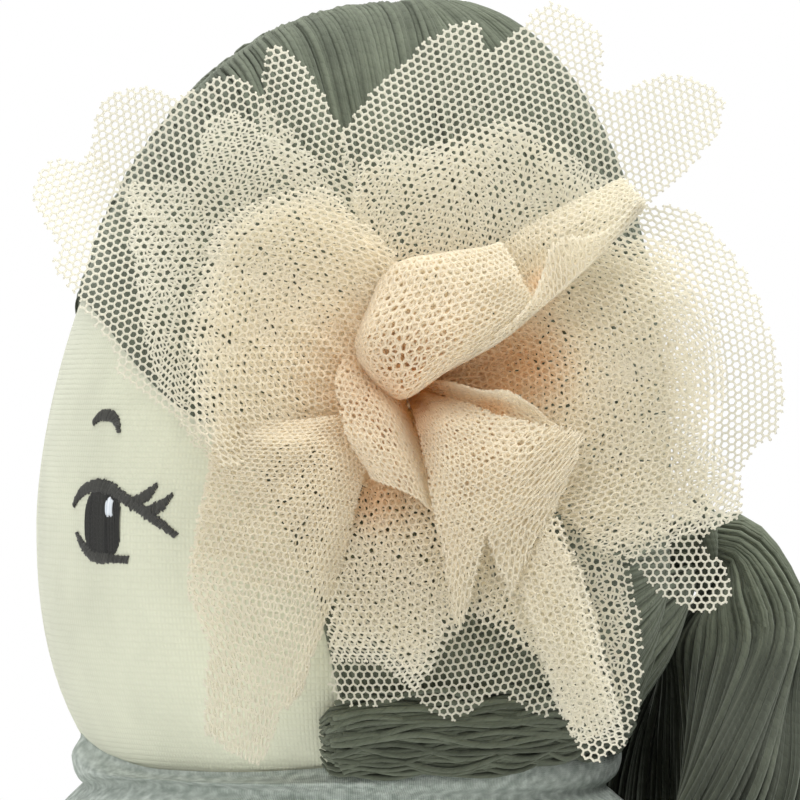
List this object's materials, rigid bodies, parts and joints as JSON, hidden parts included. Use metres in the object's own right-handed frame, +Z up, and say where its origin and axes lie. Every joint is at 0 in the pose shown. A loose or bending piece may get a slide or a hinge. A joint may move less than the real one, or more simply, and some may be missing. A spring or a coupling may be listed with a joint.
{
  "type": "rag doll",
  "caption": "Soft cloth doll with an egg-shaped head, yarn ponytail, tulle flower at the side of the head, cowl-neck sweater and jointed limbs, standing.",
  "frame": {"origin": "on the floor under the middle of the doll's overall box", "axes": "+Z up, the doll faces -Y, its own left side and the flower are towards +X"},
  "size_m": [0.1633, 0.1512, 0.4183],
  "materials": {
    "skin_cloth": "matte",
    "stuffing": "matte",
    "dark_felt": "matte",
    "white_thread": "satin",
    "hair_yarn": "matte",
    "elastic": "matte",
    "tulle": "matte",
    "backing_felt": "matte",
    "melange_jersey": "matte",
    "trouser_cloth": "matte",
    "shoe_felt": "matte",
    "sole_suede": "matte",
    "fibreboard": "matte",
    "pin_steel": "satin"
  },
  "bodies": {
    "torso": {"sweater_body": "melange_jersey", "torso_stuffing": "stuffing", "collar": "melange_jersey", "hem_band": "melange_jersey", "trouser_seat": "trouser_cloth", "neck_pin": "pin_steel", "hip_pin": "pin_steel", "shoulder_pin_left": "pin_steel", "shoulder_pin_right": "pin_steel"},
    "head": {"head_skin": "skin_cloth", "head_stuffing": "stuffing", "neck_disc": "fibreboard", "flower_felt": "backing_felt", "flower_stitch": "white_thread", "eye_left": "dark_felt", "eye_right": "dark_felt", "eye_shine_left": "white_thread", "eye_shine_right": "white_thread", "brow_left": "dark_felt", "brow_right": "dark_felt", "hair_left": "hair_yarn", "hair_right": "hair_yarn", "hair_nape_left": "hair_yarn", "hair_nape_right": "hair_yarn", "petal_left_lobes": "tulle", "petal_tongue": "tulle", "petal_right": "tulle", "petal_bottom": "tulle", "petal_upper_left": "tulle", "petal_upper_right": "tulle", "petal_lower_right": "tulle", "petal_side_strip": "tulle", "petal_drape": "tulle", "petal_mid_left": "tulle", "petal_mid_right": "tulle", "petal_bottom_mid": "tulle", "petal_mid_upper": "tulle", "petal_strip": "tulle", "petal_front_left": "tulle", "petal_cone_left": "tulle", "petal_front_roll": "tulle", "petal_cone_right": "tulle"},
    "ponytail": {"ponytail": "hair_yarn", "hair_tie": "elastic"},
    "arm_left": {"arm_left": "skin_cloth", "sleeve_left": "melange_jersey", "cuff_left": "melange_jersey", "arm_disc_left": "fibreboard"},
    "leg_left": {"leg_left": "trouser_cloth", "shoe_left": "shoe_felt", "sole_left": "sole_suede", "leg_disc_left": "fibreboard"},
    "arm_right": {"arm_right": "skin_cloth", "sleeve_right": "melange_jersey", "cuff_right": "melange_jersey", "arm_disc_right": "fibreboard"},
    "leg_right": {"leg_right": "trouser_cloth", "shoe_right": "shoe_felt", "sole_right": "sole_suede", "leg_disc_right": "fibreboard"}
  },
  "joints": [
    {"name": "neck_turn", "type": "hinge", "parent": "torso", "child": "head", "pos_m": [-0.002, -0.0175, 0.2614], "axis": [0, 0, 1], "range_deg": [-20, 20]},
    {"name": "ponytail_swing", "type": "hinge", "parent": "head", "child": "ponytail", "pos_m": [-0.002, 0.04646, 0.3203], "axis": [1, 0, 0], "range_deg": [0, 40]},
    {"name": "shoulder_left", "type": "hinge", "parent": "torso", "child": "arm_left", "pos_m": [-0.002, -0.0175, 0.23595], "axis": [-1, 0, 0], "range_deg": [-30, 90]},
    {"name": "shoulder_right", "type": "hinge", "parent": "torso", "child": "arm_right", "pos_m": [-0.002, -0.0175, 0.23595], "axis": [-1, 0, 0], "range_deg": [-30, 90]},
    {"name": "hip_left", "type": "hinge", "parent": "torso", "child": "leg_left", "pos_m": [-0.002, -0.0145, 0.1195], "axis": [-1, 0, 0], "range_deg": [-60, 90]},
    {"name": "hip_right", "type": "hinge", "parent": "torso", "child": "leg_right", "pos_m": [-0.002, -0.0145, 0.1195], "axis": [-1, 0, 0], "range_deg": [-60, 90]}
  ]
}
